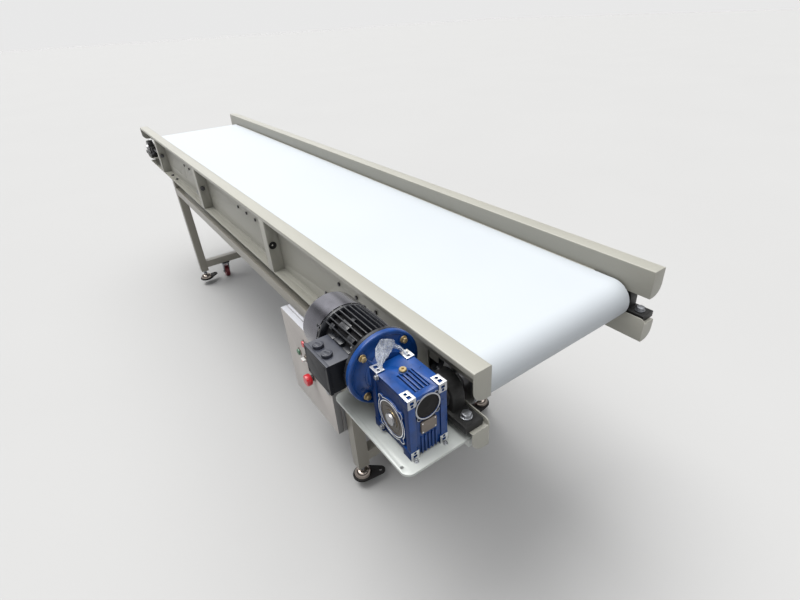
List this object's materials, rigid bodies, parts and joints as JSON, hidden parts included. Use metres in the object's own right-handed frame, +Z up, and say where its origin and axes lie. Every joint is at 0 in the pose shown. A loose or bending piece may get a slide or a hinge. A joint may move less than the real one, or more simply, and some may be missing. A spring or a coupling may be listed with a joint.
{
  "type": "belt conveyor section",
  "caption": "Belt conveyor section with folded side rails, white belt, worm-gear drive, control box and a square-tube stand on levelling feet and swivel casters.",
  "frame": {"origin": "centre of the belt's carrying surface", "axes": "+X along the belt towards the driven head end, +Y across the belt away from the drive side, +Z up"},
  "size_m": [3.04, 0.792, 0.893],
  "materials": {
    "frame_paint": "satin powder coat",
    "box_paint": "satin powder coat",
    "gearbox_blue": "satin paint",
    "motor_black": "satin paint",
    "cowl_paint": "satin paint",
    "cast_black": "painted",
    "zinc": "zinc plated",
    "steel": "machined",
    "brass": "machined",
    "rubber": "matte",
    "belt_white": "smooth PVC",
    "chrome": "polished",
    "wheel_red": "polyurethane",
    "black_plastic": "matte",
    "fan_plastic": "matte",
    "gear_plastic": "matte",
    "red_plastic": "gloss",
    "green_plastic": "gloss",
    "clear_film": "clear film"
  },
  "bodies": {
    "frame": {"side_rail_near": "frame_paint", "side_rail_far": "frame_paint", "rail_stiffeners": "frame_paint", "slider_bed": "frame_paint", "bed_cross_tubes": "frame_paint", "frame_bolts": "zinc", "conveyor_belt": "belt_white", "stand_legs": "frame_paint", "stand_rails": "frame_paint", "pillow_blocks": "cast_black", "bearing_bolts": "zinc", "return_roller_shafts": "zinc", "motor_plate": "frame_paint", "gearbox_housing": "gearbox_blue", "gearbox_input_flange": "gearbox_blue", "gearbox_side_covers": "steel", "worm_end_cap": "rubber", "gearbox_oil_plug": "brass", "gearbox_bolts": "brass", "motor_housing": "motor_black", "motor_shields": "motor_black", "motor_fan_cowl": "cowl_paint", "terminal_box": "motor_black", "terminal_box_lid": "motor_black", "terminal_plugs": "black_plastic", "control_box": "box_paint", "control_gear": "gear_plastic", "caster_plates": "cast_black", "breather_bag": "clear_film"},
    "drum": {"head_drum": "steel", "drum_shaft": "steel", "worm_wheel": "brass"},
    "motor": {"motor_rotor": "steel", "worm_shaft": "steel", "motor_fan": "fan_plastic"},
    "takeup": {"takeup_blocks": "cast_black", "takeup_screws": "zinc"},
    "tail": {"tail_roller": "steel", "tail_shaft": "steel"},
    "return_a": {"return_roller_a": "zinc"},
    "return_b": {"return_roller_b": "zinc"},
    "door": {"control_door": "box_paint", "button_bezels": "zinc"},
    "lock": {"door_lock": "zinc"},
    "start": {"start_button": "green_plastic"},
    "stop": {"stop_button": "red_plastic"},
    "selector": {"selector_knob": "black_plastic"},
    "estop": {"emergency_stop": "red_plastic"},
    "foot_a": {"levelling_foot_a": "chrome"},
    "fork_a": {"caster_fork_a": "zinc"},
    "wheel_a": {"caster_wheel_a": "wheel_red"},
    "foot_b": {"levelling_foot_b": "chrome"},
    "fork_b": {"caster_fork_b": "zinc"},
    "wheel_b": {"caster_wheel_b": "wheel_red"},
    "foot_c": {"levelling_foot_c": "chrome"},
    "fork_c": {"caster_fork_c": "zinc"},
    "wheel_c": {"caster_wheel_c": "wheel_red"},
    "foot_d": {"levelling_foot_d": "chrome"},
    "fork_d": {"caster_fork_d": "zinc"},
    "wheel_d": {"caster_wheel_d": "wheel_red"}
  },
  "joints": [
    {"name": "drum_spin", "type": "hinge", "parent": "frame", "child": "drum", "pos_m": [1.426, 0, -0.052], "axis": [0, 1, 0], "continuous": true},
    {"name": "motor_spin", "type": "hinge", "parent": "frame", "child": "motor", "pos_m": [1.3, -0.3745, -0.002], "axis": [1, 0, 0], "continuous": true},
    {"name": "takeup_slide", "type": "slide", "parent": "frame", "child": "takeup", "axis": [1, 0, 0], "range_m": [0, 0.03]},
    {"name": "tail_spin", "type": "hinge", "parent": "takeup", "child": "tail", "pos_m": [-1.4, 0, -0.052], "axis": [0, 1, 0], "continuous": true},
    {"name": "return_spin_a", "type": "hinge", "parent": "frame", "child": "return_a", "pos_m": [-0.5, 0, -0.124], "axis": [0, 1, 0], "continuous": true},
    {"name": "return_spin_b", "type": "hinge", "parent": "frame", "child": "return_b", "pos_m": [0.5, 0, -0.124], "axis": [0, 1, 0], "continuous": true},
    {"name": "door_hinge", "type": "hinge", "parent": "frame", "child": "door", "pos_m": [0.598, -0.304, -0.4], "axis": [0, 0, -1], "range_deg": [0, 120]},
    {"name": "lock_turn", "type": "hinge", "parent": "door", "child": "lock", "pos_m": [0.895, -0.325, -0.4075], "axis": [0, 1, 0], "range_deg": [0, 90]},
    {"name": "start_press", "type": "slide", "parent": "door", "child": "start", "axis": [0, 1, 0], "range_m": [0, 0.004], "stiffness_N_per_m": 600},
    {"name": "stop_press", "type": "slide", "parent": "door", "child": "stop", "axis": [0, 1, 0], "range_m": [0, 0.004], "stiffness_N_per_m": 600},
    {"name": "selector_turn", "type": "hinge", "parent": "door", "child": "selector", "pos_m": [0.758, -0.325, -0.361], "axis": [0, 1, 0], "range_deg": [-45, 45]},
    {"name": "estop_press", "type": "slide", "parent": "door", "child": "estop", "axis": [0, 1, 0], "range_m": [0, 0.006]},
    {"name": "foot_screw_a", "type": "slide", "parent": "frame", "child": "foot_a", "axis": [0, 0, -1], "range_m": [0, 0.035]},
    {"name": "caster_swivel_a", "type": "hinge", "parent": "frame", "child": "fork_a", "pos_m": [-0.945, -0.145, -0.71], "axis": [0, 0, 1], "continuous": true},
    {"name": "wheel_spin_a", "type": "hinge", "parent": "fork_a", "child": "wheel_a", "pos_m": [-0.969, -0.145, -0.7775], "axis": [0, 1, 0], "continuous": true},
    {"name": "foot_screw_b", "type": "slide", "parent": "frame", "child": "foot_b", "axis": [0, 0, -1], "range_m": [0, 0.035]},
    {"name": "caster_swivel_b", "type": "hinge", "parent": "frame", "child": "fork_b", "pos_m": [-0.945, 0.145, -0.71], "axis": [0, 0, 1], "continuous": true},
    {"name": "wheel_spin_b", "type": "hinge", "parent": "fork_b", "child": "wheel_b", "pos_m": [-0.969, 0.145, -0.7775], "axis": [0, 1, 0], "continuous": true},
    {"name": "foot_screw_c", "type": "slide", "parent": "frame", "child": "foot_c", "axis": [0, 0, -1], "range_m": [0, 0.035]},
    {"name": "caster_swivel_c", "type": "hinge", "parent": "frame", "child": "fork_c", "pos_m": [0.945, -0.145, -0.71], "axis": [0, 0, 1], "continuous": true},
    {"name": "wheel_spin_c", "type": "hinge", "parent": "fork_c", "child": "wheel_c", "pos_m": [0.921, -0.145, -0.7775], "axis": [0, 1, 0], "continuous": true},
    {"name": "foot_screw_d", "type": "slide", "parent": "frame", "child": "foot_d", "axis": [0, 0, -1], "range_m": [0, 0.035]},
    {"name": "caster_swivel_d", "type": "hinge", "parent": "frame", "child": "fork_d", "pos_m": [0.945, 0.145, -0.71], "axis": [0, 0, 1], "continuous": true},
    {"name": "wheel_spin_d", "type": "hinge", "parent": "fork_d", "child": "wheel_d", "pos_m": [0.921, 0.145, -0.7775], "axis": [0, 1, 0], "continuous": true}
  ],
  "couplings": [
    {"joint": "motor_spin", "follows": "drum_spin", "ratio": 30},
    {"joint": "tail_spin", "follows": "drum_spin", "ratio": 1},
    {"joint": "return_spin_a", "follows": "drum_spin", "ratio": -2.55},
    {"joint": "return_spin_b", "follows": "drum_spin", "ratio": -2.55}
  ]
}
